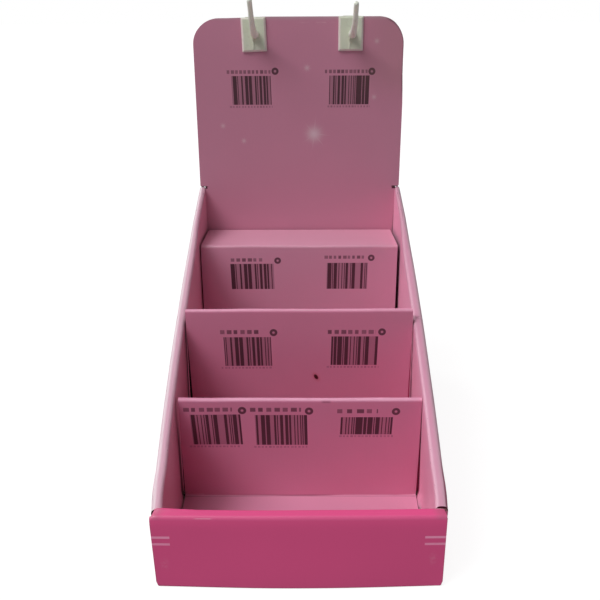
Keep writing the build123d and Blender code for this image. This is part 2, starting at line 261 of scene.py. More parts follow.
def star(s, xc, zc, length, width, turn=0.0, seed=0.0, uneven=0.0):
    """A soft star: thin rays of uneven length round a glowing middle."""
    dx = s.m("SUBTRACT", s.x, xc * MM)
    dz = s.m("SUBTRACT", s.z, zc * MM)
    d = s.m("SQRT", s.add(s.mul(dx, dx), s.mul(dz, dz)))
    phi = s.m("ARCTAN2", dz, dx)
    out = None
    for ang, ln in ((turn, length), (turn + math.pi / 8, length * 0.6)):
        q = s.add(phi, ang + math.pi / 8)
        part = s.m("SUBTRACT", s.m("FLOORED_MODULO", q, math.pi / 4), math.pi / 8)
        side = s.mul(s.m("ABSOLUTE", s.m("SINE", part)), d)
        along = s.mul(s.m("COSINE", part), d)
        long = ln * MM
        if uneven:
            r = s.rnd(s.add(s.m("FLOOR", s.m("DIVIDE", q, math.pi / 4)), seed + ang))
            long = s.m("MULTIPLY_ADD", r, uneven * ln * MM, (1.0 - 0.6 * uneven) * ln * MM)
        room = s.m("SUBTRACT", 1.0, s.m("DIVIDE", along, long), limit=True)
        ray = s.mul(s.m("SUBTRACT", 1.0, s.m("DIVIDE", side, s.m("MULTIPLY_ADD", room, width * MM, 0.00004)), limit=True), room)
        out = ray if out is None else s.most(out, ray)
    glow = s.m("POWER", 2.718, s.mul(s.m("DIVIDE", d, 0.36 * length * MM), s.m("DIVIDE", d, -0.36 * length * MM)))
    return s.most(s.mul(out, 0.9), s.mul(glow, 0.85))


# =============================================================== materials
# base colours are linear, as measured against the fitted light
LIGHT = (0.723, 0.308, 0.455)      # pale pink print: side walls and floors
DIVIDER = (0.695, 0.240, 0.388)    # the same print on the dividers' faces, a little deeper, as painted shade
# the middle divider's copy is deeper still, as painted shade; the riser's and shelf's are paler, as painted sheen
MIDDLE = (0.700, 0.232, 0.372)
RISER = (0.723, 0.335, 0.474)
SHELF = (0.723, 0.342, 0.465)
LIGHT_CARD = (0.635, 0.260, 0.377)  # the back card's slightly duller print
HOT = (0.820, 0.090, 0.272)        # strong pink print
INK = srgb(46, 12, 24)             # dark maroon overprint
PALE = srgb(236, 198, 210)         # thin pale lines
DUST_AND_SHEEN = srgb(236, 226, 230)         # paper dust and painted sheen on the walls' tops
RUBBED_AND_HIGHLIGHT = (0.900, 0.430, 0.600)     # ink rubbed thin along a fold, and painted highlight on it
BARE = srgb(196, 186, 178)         # unprinted liner
CORE = srgb(138, 112, 104)         # raw cut edge


def surface_grain(s, base, amount=0.06):
    """Slow mottling of the ink plus very fine paper grain, as a colour."""
    slow = s.noise(14.0, 3.0, 0.55)
    fine = s.noise(900.0, 2.0, 0.6)
    f = s.m("MULTIPLY_ADD", s.m("SUBTRACT", slow, 0.5), amount * 2.2, s.m("MULTIPLY_ADD", s.m("SUBTRACT", fine, 0.5), amount * 0.9, 1.0))
    n = s.nt.nodes.new("ShaderNodeVectorMath")
    n.operation = "SCALE"
    s.put(n.inputs[0], base if isinstance(base, bpy.types.NodeSocket) else (*base,))
    s.put(n.inputs["Scale"], f)
    return n.outputs[0]


def board_bump(s, flutes="x", extra=None):
    """Paper grain and the faint ripple that the flutes print through the liner."""
    fine = s.noise(1400.0, 3.0, 0.6)
    axis = {"x": s.x, "y": s.y, "z": s.z}[flutes]
    ripple = s.m("SINE", s.mul(axis, 2 * math.pi / 0.0032))
    h = s.add(s.mul(fine, 0.35), s.mul(ripple, 0.30), s.mul(s.noise(60.0, 2.0), 1.2))
    if extra is not None:
        h = s.add(h, extra)
    s.bump(h, 0.00004, 0.5)


def make_light(name, flutes, prints=None, tone=LIGHT, rough=0.42):
    s = Shader(name)
    col = s.mix(s.noise(9.0, 2.0), tone, tuple(c * k for c, k in zip(tone, (0.97, 0.93, 0.95))))
    if prints:
        col = prints(s, col)
    s.set(Base_Color=surface_grain(s, col, 0.045))
    s.set(Roughness=s.m("MULTIPLY_ADD", s.noise(35.0, 3.0), 0.16, rough - 0.08))
    s.bsdf.inputs["Specular IOR Level"].default_value = 0.5
    s.bsdf.inputs["IOR"].default_value = 1.5
    board_bump(s, flutes)
    return s.mat


def card_prints(s, col):
    marks = [
        stripes(s, -53.9, -22.6, 235.2, 257.5, 0.6, 11.0),
        stripes(s, 24.0, 55.7, 235.3, 257.6, -0.3, 37.0),
        dashes(s, -57.2, -22.6, 260.5, 2.7, 3.3, 5.0, 0.78),
        dashes(s, 20.4, 54.0, 260.7, 2.7, 3.2, 71.0, 0.84),
        dashes(s, -55.6, -21.4, 233.6, 1.6, 2.4, 15.0, 0.45),
        dashes(s, 22.6, 56.6, 233.7, 1.6, 2.4, 29.0, 0.45),
        ring(s, -19.0, 261.0, 2.9),
        ring(s, 57.4, 260.7, 2.9),
    ]
    col = s.mix(s.mul(s.most(*marks), 0.92), col, INK)
    glints = [
        s.mul(star(s, 11.9, 211.9, 14.0, 1.0, 0.1, 4.0, 0.55), 0.62),
        s.mul(star(s, -61.7, 218.6, 3.8, 0.7), 0.36),
        s.mul(star(s, -45.1, 206.5, 3.8, 0.7, 0.2), 0.38),
        s.mul(star(s, 6.2, 263.5, 4.6, 0.7, 0.2), 0.42),
        s.mul(star(s, 60.6, 283.4, 4.0, 0.7), 0.38),
        s.mul(star(s, 59.7, 241.0, 3.8, 0.7), 0.36),
    ]
    col = s.mix(s.most(*glints), col, srgb(240, 226, 232))
    # painted shade where the slots under the shoulders grip the walls
    slot_shade = s.mul(s.band(s.z, 0.1668, 0.1692, 0.0006), s.step(s.m("ABSOLUTE", s.x), 0.0764, 0.0770))
    col = s.mix(s.mul(slot_shade, 0.93), col, srgb(60, 16, 30))
    # a faint line where the ink is worn near the upper edge
    worn = s.mul(s.band(s.z, 0.2968, 0.2975, 0.0008), s.band(s.x, 0.001, 0.035, 0.010), s.step(s.noise(220.0, 2.0), 0.35, 0.6))
    col = s.mix(s.mul(worn, 0.28), col, PALE)
    rub = s.mul(s.step(s.z, 0.2982, 0.3008), s.m("MULTIPLY_ADD", s.noise(60.0, 2.0), 0.4, 0.15))
    col = s.mix(rub, col, srgb(196, 184, 188))
    # a little yellowed towards one side, and painted shade along the cut round its top corner
    col = s.mix(s.mul(s.step(s.x, 0.030, 0.080), s.step(s.z, 0.230, 0.262), 0.20), col, srgb(150, 118, 96))
    qx = s.m("MAXIMUM", s.m("SUBTRACT", s.x, 0.0620), 0.0)
    qz = s.m("MAXIMUM", s.m("SUBTRACT", s.z, 0.2810), 0.0)
    rim = s.m("SQRT", s.add(s.mul(qx, qx), s.mul(qz, qz)))
    cut_shade = s.mul(s.step(rim, 0.0182, 0.0200), s.step(s.x, 0.066, 0.072), s.step(s.z, 0.236, 0.252), s.m("MULTIPLY_ADD", s.noise(90.0, 2.0), 0.8, 0.25, limit=True))
    return s.mix(cut_shade, col, srgb(92, 62, 74))


def crease(s, col, foot_mm):
    """A dark, wavering line of painted shade along the crease at a divider's foot."""
    waver = s.m("MULTIPLY_ADD", s.noise(45.0, 2.0), 0.0012, -0.0006)
    dy = s.m("SUBTRACT", s.add(s.y, waver), fy(foot_mm))
    foot = s.mul(s.step(s.m("ABSOLUTE", dy), 0.0010, 0.0002), s.step(s.z, 0.0050, 0.0040), s.m("MULTIPLY_ADD", s.noise(30.0, 2.0), 0.8, 0.1, limit=True))
    return s.mix(s.mul(foot, 0.6), col, srgb(118, 48, 72))


def floor_prints(s, col):
    return crease(s, col, 82.0)


def front_prints(s, col):
    # ink rubbed pale on the top fold, and painted highlight on it
    top = s.mul(s.step(s.z, 0.0772, 0.0784), s.m("MULTIPLY_ADD", s.noise(90.0, 3.0), 0.6, 0.45, limit=True))
    # less of it towards the left end, as painted shade
    left_shade = s.mul(s.step(s.x, -0.040, -0.070), 0.55)
    col = s.mix(s.mul(top, s.m("SUBTRACT", 1.0, left_shade)), crease(s, col, 82.0), RUBBED_AND_HIGHLIGHT)
    face = s.mul(s.step(s.y, fy(82.0), fy(81.9)), s.step(s.m("MULTIPLY_ADD", s.z, 0.05, s.y), fy(84.7), fy(84.6)))
    ink = s.most(
        stripes(s, -70.2, -37.9, 45.0, 67.9, 1.1, 91.0),
        stripes(s, -28.7, 4.8, 44.6, 67.4, 0.5, 23.0),
        stripes(s, 26.5, 59.8, 52.6, 65.8, -0.4, 57.0),
        dashes(s, -74.0, -43.0, 71.6, 2.9, 5.0, 3.0, 0.85),
        dashes(s, -31.5, 1.0, 71.3, 2.9, 5.2, 45.0, 0.85),
        dashes(s, 24.0, 50.0, 70.3, 3.0, 6.3, 63.0, 0.85),
        dashes(s, -71.6, -38.0, 43.4, 1.4, 2.4, 8.0, 0.4),
        dashes(s, -29.6, 5.0, 43.0, 1.4, 2.4, 9.0, 0.4),
        dashes(s, 25.6, 60.4, 51.2, 1.4, 2.4, 10.0, 0.4),
        ring(s, -36.6, 70.8, 2.8), ring(s, 6.1, 70.3, 2.8), ring(s, 61.5, 70.0, 2.8),
    )
    col = s.mix(s.mul(ink, face, 0.93), col, INK)
    # scuff where the fold was caught
    scuff = s.mul(s.band(s.x, 0.0143, 0.0196, 0.0024), s.band(s.z, 0.0764, 0.0778, 0.0010), s.step(s.y, fy(79.6), fy(79.2)))
    return s.mix(s.mul(scuff, 0.4), col, srgb(110, 44, 62))


def middle_prints(s, col):
    # ink rubbed pale on the top fold, and painted highlight on it
    top = s.mul(s.step(s.z, 0.1150, 0.1162), s.m("MULTIPLY_ADD", s.noise(90.0, 3.0), 0.6, 0.30, limit=True))
    col = s.mix(top, crease(s, col, 136.5), RUBBED_AND_HIGHLIGHT)
    face = s.step(s.y, fy(138.0), fy(137.9))
    ink = s.most(
        stripes(s, -52.8, -19.9, 73.9, 96.2, 0.6, 17.0),
        stripes(s, 22.2, 54.6, 74.4, 96.6, -0.4, 77.0),
        dashes(s, -55.0, -27.0, 100.1, 3.0, 4.7, 31.0, 0.85),
        dashes(s, 19.6, 52.6, 100.0, 3.0, 4.7, 52.0, 0.85),
        dashes(s, -55.0, -19.0, 72.4, 1.4, 2.4, 18.0, 0.4),
        dashes(s, 19.0, 55.6, 72.9, 1.4, 2.4, 19.0, 0.4),
        ring(s, -18.0, 99.6, 2.8), ring(s, 57.1, 100.0, 2.8),
    )
    col = s.mix(s.mul(ink, face, 0.93), col, INK)
    # a small dark speck
    dx = s.m("SUBTRACT", s.x, 0.0116)
    dz = s.m("SUBTRACT", s.z, 0.0650)
    d = s.m("SQRT", s.add(s.mul(dx, dx, 1.3), s.mul(dz, dz, 0.8), s.mul(dx, dz, 0.9)))
    col = s.mix(s.mul(face, s.step(d, 0.0040, 0.0012), 0.35), col, srgb(205, 60, 60))
    return s.mix(s.mul(face, s.step(d, 0.0019, 0.0012)), col, srgb(70, 10, 22))


def riser_prints(s, col):
    ink = s.most(
        stripes(s, -55.5, -21.0, 95.3, 116.9, 0.6, 13.0),
        stripes(s, 21.8, 54.6, 95.3, 117.5, -0.3, 83.0),
        dashes(s, -55.0, -28.0, 120.2, 2.8, 4.5, 34.0, 0.8),
        dashes(s, 19.8, 52.8, 122.3, 2.6, 3.7, 58.0, 0.8),
        ring(s, -17.6, 119.5, 2.8), ring(s, 57.1, 121.7, 2.8),
    )
    return s.mix(s.mul(ink, 0.93), col, INK)


mat_card = make_light("print_card", "x", card_prints, LIGHT_CARD, 0.40)
mat_floor = make_light("print_insert", "x", floor_prints, LIGHT, 0.42)
mat_front = make_light("print_front_divider", "x", front_prints, DIVIDER, 0.42)
mat_middle = make_light("print_middle_divider", "x", middle_prints, MIDDLE, 0.42)
mat_riser = make_light("print_riser", "x", riser_prints, RISER, 0.42)
mat_shelf = make_light("print_shelf", "x", None, SHELF, 0.42)


def tray_print():
    """Strong pink outside, pale pink from just below the walls' outer top edges inwards."""
    s = Shader("print_tray")
    at = s.nt.nodes.new("ShaderNodeAttribute")
    at.attribute_type, at.attribute_name = "GEOMETRY", "flat"
    sep = s.nt.nodes.new("ShaderNodeSeparateXYZ")
    s.nt.links.new(at.outputs["Vector"], sep.inputs[0])
    fx, below, deep_in = sep.outputs           # X before the walls were bowed, depth below their top line
    ax = s.m("ABSOLUTE", fx)
    walls = s.step(s.y, fy(6.8), fy(6.95))
    front = s.step(s.y, fy(6.9), fy(6.6))                      # the front wall and its top fold
    edge = s.m("MULTIPLY_ADD", s.noise(60.0, 2.0), 0.0008, 0.0022)
    side = s.mul(s.step(ax, 0.08205, 0.08225), s.step(s.m("SUBTRACT", below, edge), 0.0, 0.0002))
    back = s.step(s.y, fy(282.0), fy(282.2))
    under = s.step(s.z, 0.0012, 0.0010)
    hot = s.most(front, side, back, under)
    light = s.mix(s.noise(9.0, 2.0), LIGHT, tuple(c * k for c, k in zip(LIGHT, (0.97, 0.94, 0.95))))
    # the two inner panels' tones are painted light: the right one, facing the lamps, lighter; the left one darker at
    # its front, as painted shade; both lighter towards the back
    panel_in = s.mul(s.step(ax, 0.0763, 0.0760), s.step(below, 0.001, 0.004))
    right_light = s.mix(s.step(s.y, fy(20.0), fy(120.0)), tuple(c * k for c, k in zip(LIGHT, (1.04, 1.10, 1.06))), tuple(c * k for c, k in zip(LIGHT, (1.32, 1.44, 1.36))))
    left_shade = s.mix(s.step(s.y, fy(15.0), fy(60.0)), tuple(c * k for c, k in zip(LIGHT, (0.95, 0.74, 0.73))), tuple(c * k for c, k in zip(LIGHT, (1.13, 1.22, 1.08))))
    light = s.mix(s.mul(s.step(fx, 0.0, 0.001), panel_in), light, right_light)
    light = s.mix(s.mul(s.step(fx, 0.0, -0.001), panel_in), light, left_shade)
    # painted shade in the slits between the dividers' leaves: near black on the left, maroon on the right
    slit_shade_front = s.mul(s.band(s.y, fy(80.2), fy(88.0), 0.0010), s.step(s.z, 0.066, 0.040), s.mix(s.step(fx, 0.001, -0.001), (1, 1, 1), (0.72, 0.72, 0.72)))
    slit_shade_middle = s.mul(s.band(s.y, fy(136.4), fy(142.4), 0.0006), s.mix(s.step(fx, 0.001, -0.001), s.step(s.z, 0.068, 0.058), s.step(s.z, 0.112, 0.106)))
    slit_shade = s.mul(s.most(slit_shade_front, slit_shade_middle), panel_in)
    light = s.mix(s.mul(slit_shade, 0.93), light, s.mix(s.step(fx, 0.001, -0.001), srgb(160, 44, 88), srgb(22, 3, 9)))
    deep = s.mix(s.noise(11.0, 2.0), HOT, tuple(c * k for c, k in zip(HOT, (0.96, 0.90, 0.94))))
    # rubbed and dusty along the walls' top folds, with painted sheen and highlight: most at the left wall's outer
    # edge, which faces the lamps, and a line along the right wall's inner edge
    crest = s.mul(walls, s.step(below, 0.0030, 0.0012), s.step(ax, 0.0754, 0.0760))
    outer = s.step(ax, 0.0792, 0.0808)
    lip = s.step(ax, 0.0782, 0.0772)
    soil = s.m("MULTIPLY_ADD", s.noise(70.0, 3.0, stretch=(1.0, 0.3, 0.3)), 0.5, -0.25)
    left = s.step(fx, 0.0, -0.001)
    right = s.m("SUBTRACT", 1.0, left)
    worn = s.add(s.mul(outer, left, 0.40), s.mul(lip, right, 0.12), s.mul(left, 0.20), 0.08)
    light = s.mix(s.mul(crest, s.m("ADD", worn, s.mul(soil, 0.5), limit=True)), light, DUST_AND_SHEEN)
    # painted shade on the right wall's outer shoulder, which is turned from the lamps
    outer_shade = s.mul(crest, s.step(ax, 0.0785, 0.0815), right, s.m("MULTIPLY_ADD", s.noise(120.0, 3.0, stretch=(1.0, 0.2, 0.2)), 0.8, 0.1, limit=True))
    light = s.mix(s.mul(outer_shade, 0.85), light, srgb(194, 172, 180))
    # painted shade at the front band's ends and along the front panel's outer edges
    end_shade = s.mul(front, s.most(s.mul(s.step(ax, 0.0730, 0.0790), s.step(s.z, 0.0462, 0.0475), 0.75), s.step(ax, 0.0798, 0.0818)))
    deep = s.mix(end_shade, deep, (HOT[0] * 0.74, HOT[1] * 1.25, HOT[2] * 0.86))
    # painted shade on the right wall's outer face near its front end
    heel_shade = s.mul(s.step(fx, 0.0808, 0.0814), walls, s.step(s.y, fy(40.0), fy(22.0)), s.step(s.z, 0.040, 0.044))
    light = s.mix(s.mul(heel_shade, 0.8), light, tuple(c * 0.42 for c in HOT))
    col = s.mix(hot, light, deep)
    # two thin pale lines near each end of the front panel, wrapping round the corner
    rows = s.most(s.band(s.z, 0.0345, 0.0360, 0.0005), s.mul(s.band(s.z, 0.0299, 0.0314, 0.0005), 0.85))
    ends = s.most(s.step(s.x, 0.0701, 0.0704), s.step(s.x, -0.0725, -0.0728))
    near = s.step(s.y, fy(16.0), fy(15.6))
    ragged = s.step(s.noise(420.0, 2.0), 0.25, 0.5)
    col = s.mix(s.mul(rows, ends, near, s.m("MULTIPLY_ADD", ragged, 0.10, 0.88)), col, (1.0, 0.36, 0.58))
    # faint ghost marks rubbed into the ink near the lower corners
    for xc, zc, k in ((-0.0764, 0.0170, 0.11), (0.0755, 0.0205, 0.12)):
        dx = s.m("SUBTRACT", s.x, xc)
        dz = s.m("SUBTRACT", s.z, zc)
        d = s.m("SQRT", s.add(s.mul(dx, dx, 2.2), s.mul(dz, dz, 0.6)))
        g = s.mul(s.step(d, 0.0050, 0.0004), near, s.step(s.noise(500.0, 3.0), 0.36, 0.66), k)
        col = s.mix(g, col, PALE)
    # the front crease: rubbed a little lighter, with one short scratch
    crease = s.mul(s.band(s.z, 0.0466, 0.0490, 0.0016), s.step(s.y, fy(2.2), fy(1.4)))
    col = s.mix(s.mul(crease, 0.10), col, srgb(245, 150, 190))
    scratch = s.mul(s.band(s.z, 0.0474, 0.0478, 0.0004), s.step(s.y, fy(2.2), fy(1.6)), s.band(s.x, -0.0580, -0.0480, 0.004), s.step(s.noise(700.0, 2.0), 0.3, 0.5))
    col = s.mix(s.mul(scratch, 0.35), col, srgb(246, 214, 224))
    s.set(Base_Color=surface_grain(s, col, 0.04))
    s.set(Roughness=s.m("MULTIPLY_ADD", s.noise(35.0, 3.0), 0.16, 0.33))
    s.bsdf.inputs["Specular IOR Level"].default_value = 0.5
    board_bump(s, "y")
    return s.mat


mat_tray = tray_print()


def bare_liner(name="bare_liner", shade=1.0):
    s = Shader(name)
    fibre = s.noise(500.0, 4.0, 0.7, stretch=(1.0, 0.25, 1.0))
    specks = s.step(s.noise(800.0, 1.0), 0.70, 0.76)
    col = s.mix(fibre, tuple(c * 0.9 for c in BARE), tuple(min(1.0, c * 1.08) for c in BARE))
    col = s.mix(s.mul(specks, 0.25), col, srgb(150, 134, 120))
    if shade < 1.0:         # painted shade on the liner beside a divider's end: near black on the left, maroon on the right
        col = s.mix(1.0 - shade, col, s.mix(s.step(s.x, -0.001, 0.001), srgb(20, 3, 8), srgb(246, 112, 158)))
    s.set(Base_Color=col, Roughness=s.m("MULTIPLY_ADD", fibre, 0.1, 0.78))
    s.bsdf.inputs["Specular IOR Level"].default_value = 0.3
    board_bump(s, "x")
    return s.mat


mat_bare = bare_liner()
mat_liner_shade = bare_liner("bare_liner_shade", 0.06)


def cut_edge(name, shade, smear):
    """Raw edge of the corrugated board: two liners, a waved middle layer, and hollows painted dark as shade."""
    s = Shader(name)
    at = s.nt.nodes.new("ShaderNodeAttribute")
    at.attribute_type, at.attribute_name = "GEOMETRY", "edge_uvw"
    sep = s.nt.nodes.new("ShaderNodeSeparateXYZ")
    s.nt.links.new(at.outputs["Vector"], sep.inputs[0])
    along, across, waved = sep.outputs
    wave = s.mul(s.m("SINE", s.mul(along, 2 * math.pi / 0.0032)), 0.52)
    gap = s.m("ABSOLUTE", s.m("SUBTRACT", across, s.mul(wave, waved)))
    middle = s.step(gap, 0.30, 0.14)
    liner = s.step(s.m("ABSOLUTE", across), 0.62, 0.78)
    paper = s.most(middle, liner)
    fray = s.noise(1500.0, 3.0, 0.7)
    tone = s.mix(fray, tuple(c * 0.72 * shade for c in CORE), tuple(min(1, c * 1.18 * shade) for c in CORE))
    ink = tuple(c * shade for c in srgb(190, 62, 108))
    pink = s.mix(s.m("MULTIPLY_ADD", fray, 0.3, smear), tone, ink)     # ink smeared over by the cutting knife
    hollow = tuple(0.22 * shade * ((1 - smear) * c + smear * d) for c, d in zip(CORE, srgb(214, 60, 104)))
    col = s.mix(paper, hollow, pink)
    s.set(Base_Color=col, Roughness=s.m("MULTIPLY_ADD", fray, 0.1, 0.84))
    s.bsdf.inputs["Specular IOR Level"].default_value = 0.2
    s.bump(s.add(s.mul(paper, 1.0), s.mul(fray, 0.25)), 0.00012, 0.7)
    return s.mat


mat_edge = cut_edge("cut_edge", 0.85, 0.25)
# a cut edge painted dark, standing in for shade
mat_edge_shade = cut_edge("cut_edge_shade", 0.26, 0.70)
mat_edge_inked = cut_edge("cut_edge_inked", 0.42, 0.62)


def hook_plastic():
    """Moulded ivory plastic: rims painted paler as highlight, a greener face, and a prong painted lighter, standing
    in for light it lacks.
    """
    s = Shader("hook_plastic")
    flow = s.noise(70.0, 3.0, 0.6, stretch=(1.0, 1.0, 0.35), distortion=0.6)
    col = s.mix(flow, srgb(215, 219, 199), srgb(233, 238, 217))
    nrm = s.nt.nodes.new("ShaderNodeSeparateXYZ")
    s.nt.links.new(s.normal, nrm.inputs[0])
    tilt = s.m("ABSOLUTE", nrm.outputs[1])
    plate = s.mul(s.step(s.y, 0.1343, 0.1347), s.step(s.y, 0.1368, 0.1366))
    # the plates' chamfered rims, told by the tilt of their faces, get painted highlight
    rim = s.mul(s.step(tilt, 0.97, 0.93), plate, s.step(s.z, 0.3008, 0.2998))
    col = s.mix(s.mul(rim, 0.85), col, srgb(250, 232, 226))
    # the prong is painted lighter, as painted light
    prong = s.step(s.y, 0.1330, 0.1300)
    col = s.mix(s.mul(prong, 0.90), col, srgb(248, 255, 238))
    grime = s.mul(s.step(s.noise(260.0, 3.0), 0.55, 0.75), 0.18)
    col = s.mix(grime, col, srgb(170, 160, 138))
    s.set(Base_Color=col, Roughness=s.m("MULTIPLY_ADD", flow, 0.14, 0.28))
    s.bsdf.inputs["Specular IOR Level"].default_value = 0.5
    s.bsdf.inputs["Subsurface Weight"].default_value = 0.5      # thin, slightly see-through plastic
    s.bsdf.inputs["Subsurface Radius"].default_value = (1.0, 1.0, 0.9)
    s.bsdf.inputs["Subsurface Scale"].default_value = 0.0030
    s.bump(s.add(flow, s.mul(s.noise(700.0, 2.0), 0.3)), 0.00006, 0.5)
    return s.mat


mat_hook = hook_plastic()


# =============================================================== sheet meshes
def clean_copy(node):
    """A bmesh of the CAD node with doubled points joined and degenerate pieces dissolved."""
    bm = bmesh.new()
    bm.from_mesh(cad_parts[node].data)
    bmesh.ops.remove_doubles(bm, verts=bm.verts, dist=2e-6)
    bmesh.ops.dissolve_degenerate(bm, edges=bm.edges, dist=1e-7)
    bmesh.ops.recalc_face_normals(bm, faces=bm.faces)
    return bm


def slice_planes(bm, axis, values):
    no = [0.0, 0.0, 0.0]
    no[axis] = 1.0
    for v in values:
        co = [0.0, 0.0, 0.0]
        co[axis] = v
        bmesh.ops.bisect_plane(bm, geom=bm.verts[:] + bm.edges[:] + bm.faces[:], dist=1e-6, plane_co=co, plane_no=no)


def spaced(lo, hi, n):
    return [lo + (hi - lo) * (i + 0.5) / n for i in range(n)]


def set_edge_uvw(bm, faces_info):
    """Per corner: distance along the cut edge, place across it (-1 to 1), and 1 if it cuts the flutes."""
    layer = bm.loops.layers.float_vector.new("edge_uvw")
    for f, fn in faces_info:
        for loop in f.loops:
            loop[layer] = fn(loop.vert.co)


def to_object(bm, name, mats, sharp_deg=34.0):
    for e in bm.edges:
        e.smooth = not (len(e.link_faces) == 2 and e.calc_face_angle(0.0) > math.radians(sharp_deg))
        if len(e.link_faces) == 2 and e.link_faces[0].material_index != e.link_faces[1].material_index and e.calc_face_angle(0.0) > math.radians(20):
            e.smooth = False
    for f in bm.faces:
        f.smooth = True
    me = bpy.data.meshes.new(name)
    bm.to_mesh(me)
    bm.free()
    for m in mats:
        me.materials.append(m)
    ob = bpy.data.objects.new(name, me)
    bpy.context.scene.collection.objects.link(ob)
    return ob


def wobble(a, b, c, seed):
    """A smooth, fixed unevenness between about -1 and 1."""
    return (
        math.sin(a * 1.00 + seed * 1.7) * math.cos(b * 0.83 + seed * 0.9)
        + 0.6 * math.sin(b * 1.9 + a * 0.7 + seed * 2.3)
        + 0.5 * math.cos(c * 1.3 - a * 1.1 + seed * 3.1)
        + 0.35 * math.sin(a * 2.7 + c * 2.1 + seed)
    ) / 2.2


def wall_top(y):
    """Height of a side wall's top line at Y."""
    return 0.052 + (y - fy(7.0)) * (0.167 - 0.052) / 0.270


def bow(y):
    """How far the side walls stand out at Y."""
    return BOW * max(0.0, 1 - (y / 0.1378) ** 2)


def unbowed(x, y):
    """X of a point of a side wall before the wall was bowed."""
    return x - math.copysign(bow(y) * smooth(abs(x), 0.058, 0.071), x)


# ---------------------------------------------------------------- tray
bm = clean_copy("tray")
for v in bm.verts:
    v.co.x = unbowed(v.co.x, v.co.y)
bm.normal_update()
tree = BVHTree.FromBMesh(bm, epsilon=0.0)


def sheet_face_kind(f):
    """0 printed, 1 bare, 2 cut edge, told by what lies just in front of and behind the face."""
    c, n = f.calc_center_median(), f.normal
    hit = tree.ray_cast(c - n * 2e-5, -n, 0.02)
    depth = hit[3] if hit[0] is not None else 1.0
    if depth > 0.00172:
        return 2
    front = tree.ray_cast(c + n * 2e-5, n, 0.0046)
    if front[0] is not None:
        return 1
    if n.z > 0.9 and c.z < 0.002:
        return 1
    if n.y < -0.9 and c.y > 0.1395:
        return 1
    return 0


slice_planes(bm, 1, [fy(9.5), fy(13)] + spaced(YF + 0.016, -YF - 0.004, 26) + [fy(268), fy(272), fy(275)])
slice_planes(bm, 0, spaced(-0.0735, 0.0735, 14) + [s * v for s in (-1, 1) for v in (0.0762, 0.0772, 0.0782, 0.0792, 0.0802, 0.0811, 0.0819)])
slice_planes(bm, 2, spaced(0.004, 0.166, 18) + [0.0425, 0.0445, 0.0458])
bm.normal_update()
flat_layer = bm.loops.layers.float_vector.new("flat")
edge_faces = []
for f in bm.faces:
    for loop in f.loops:
        p = loop.vert.co
        loop[flat_layer] = Vector((p.x, wall_top(p.y) - p.z, 0.0))
    kind = sheet_face_kind(f)
    f.material_index = kind
    if kind != 2 and f.normal.y < -0.9 and abs(f.calc_center_median().x) > 0.0755 and fy(6.6) < f.calc_center_median().y < fy(7.6):
        f.material_index = 3        # the hollow inside the walls' open ends, painted dark as shade
    if kind == 2:
        n, c = f.normal, f.calc_center_median()
        sx = 1.0 if c.x > 0 else -1.0
        if abs(n.z) > 0.6:      # level cuts: flap tops and the back wall's top
            if abs(c.x) > 0.0805 and abs(c.y) < 0.136:
                edge_faces.append((f, lambda p, cx=0.08175 * sx: Vector((p.y, clamp((p.x - cx) / 0.00075, -1, 1), 1.0))))
            else:
                edge_faces.append((f, lambda p, m=c.y: Vector((p.x, clamp((p.y - m) / 0.00075, -1, 1), 1.0))))
        elif abs(n.y) > 0.6 and abs(c.x) > 0.0755:    # the side walls' open ends
            # their front cut faces are painted dark as shade
            if c.y < 0:
                f.material_index = 4 if c.x > 0.081 else 3
            if abs(c.x) > 0.081:
                edge_faces.append((f, lambda p, cx=0.08175 * sx: Vector((p.z, clamp((p.x - cx) / 0.00075, -1, 1), 0.0))))
            elif abs(c.x) < 0.0773:
                edge_faces.append((f, lambda p, cx=0.07655 * sx: Vector((p.z, clamp((p.x - cx) / 0.00075, -1, 1), 0.0))))
            else:
                edge_faces.append((f, lambda p: Vector((p.x, clamp((wall_top(p.y) - p.z - 0.00075) / 0.00075, -1, 1), 0.0))))
        else:
            edge_faces.append((f, lambda p, m=c.y: Vector((p.z, clamp((p.y - m) / 0.00075, -1, 1), 0.0))))
set_edge_uvw(bm, edge_faces)

